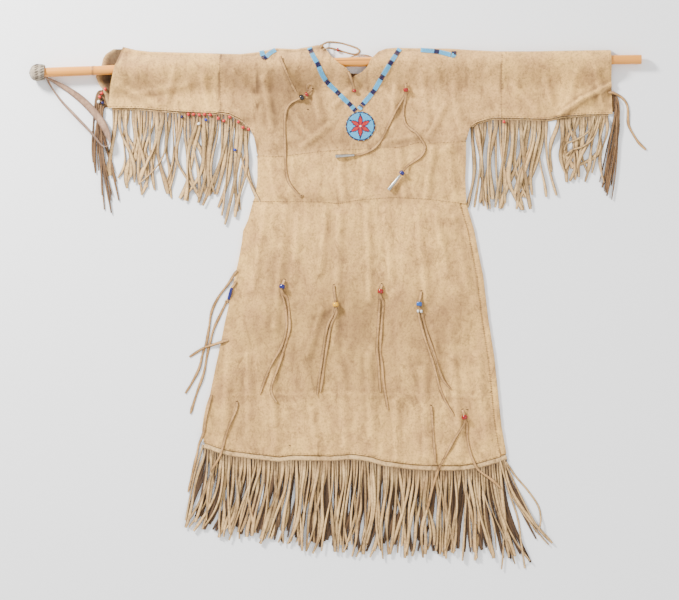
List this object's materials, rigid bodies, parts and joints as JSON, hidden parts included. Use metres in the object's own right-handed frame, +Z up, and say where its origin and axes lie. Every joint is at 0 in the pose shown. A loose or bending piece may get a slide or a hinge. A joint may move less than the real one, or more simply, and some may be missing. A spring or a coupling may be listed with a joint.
{
  "type": "hide dress laid flat on a cane pole",
  "caption": "Flat-laid fringed hide dress with beaded yoke, tied thongs with beads, and a cane pole through the sleeves.",
  "frame": {"origin": "On the table, under the middle of the back skirt, at the centre of the pictured area.", "axes": "+X to the right of a person who looks down at the front of the dress, +Y towards the neck, +Z up off the table"},
  "size_m": [1.3566, 1.1697, 0.0383],
  "materials": {
    "hide": "matt suede",
    "yoke_hide": "matt suede",
    "dark_hide": "matt suede",
    "thong_hide": "matt",
    "beadwork": "glossy",
    "cane": "satin",
    "cap_leather": "matt",
    "strap_leather": "matt",
    "red_bead": "glossy",
    "cobalt_bead": "glossy",
    "yellow_bead": "glossy",
    "mid_blue_bead": "glossy",
    "black_bead": "glossy",
    "metal_cone": "worn metal"
  },
  "bodies": {
    "root": {"band_back": "hide", "band_front": "hide", "chest_bead_left_black": "black_bead", "chest_bead_left_red": "red_bead", "chest_bead_right_blue": "cobalt_bead", "chest_bead_right_red": "red_bead", "chest_thong_left": "thong_hide", "chest_thong_right_long": "thong_hide", "chest_thong_right_short": "thong_hide", "cone_left": "metal_cone", "cone_right": "metal_cone", "corner_thong": "thong_hide", "cuff_fringe_left": "dark_hide", "cuff_fringe_right": "dark_hide", "cuff_thong": "thong_hide", "hem_fringe_back": "dark_hide", "hem_fringe_front": "hide", "neck_lane_left": "beadwork", "neck_lane_right": "beadwork", "neck_loop": "thong_hide", "neck_tie": "thong_hide", "pole": "cane", "pole_cap": "cap_leather", "rosette": "beadwork", "shoulder_lane_left": "beadwork", "shoulder_lane_right": "beadwork", "side_thong_1": "thong_hide", "side_thong_2": "thong_hide", "side_thong_3": "thong_hide", "side_welt_right": "hide", "skirt_back": "hide", "skirt_bead_a": "cobalt_bead", "skirt_bead_b": "yellow_bead", "skirt_bead_c": "red_bead", "skirt_bead_d": "mid_blue_bead", "skirt_bead_g": "red_bead", "skirt_front": "hide", "skirt_thong_a_1": "thong_hide", "skirt_thong_a_2": "thong_hide", "skirt_thong_b_1": "thong_hide", "skirt_thong_b_2": "thong_hide", "skirt_thong_c_1": "thong_hide", "skirt_thong_c_2": "thong_hide", "skirt_thong_d_1": "thong_hide", "skirt_thong_d_2": "thong_hide", "skirt_thong_e": "thong_hide", "skirt_thong_f": "thong_hide", "skirt_thong_g_1": "thong_hide", "skirt_thong_g_2": "thong_hide", "sleeve_fringe_left": "hide", "sleeve_fringe_right": "hide", "sleeve_left_back": "dark_hide", "sleeve_left_front": "hide", "sleeve_right_back": "dark_hide", "sleeve_right_front": "hide", "wrist_strap": "strap_leather", "yoke_back": "dark_hide", "yoke_front": "yoke_hide"}
  },
  "joints": []
}
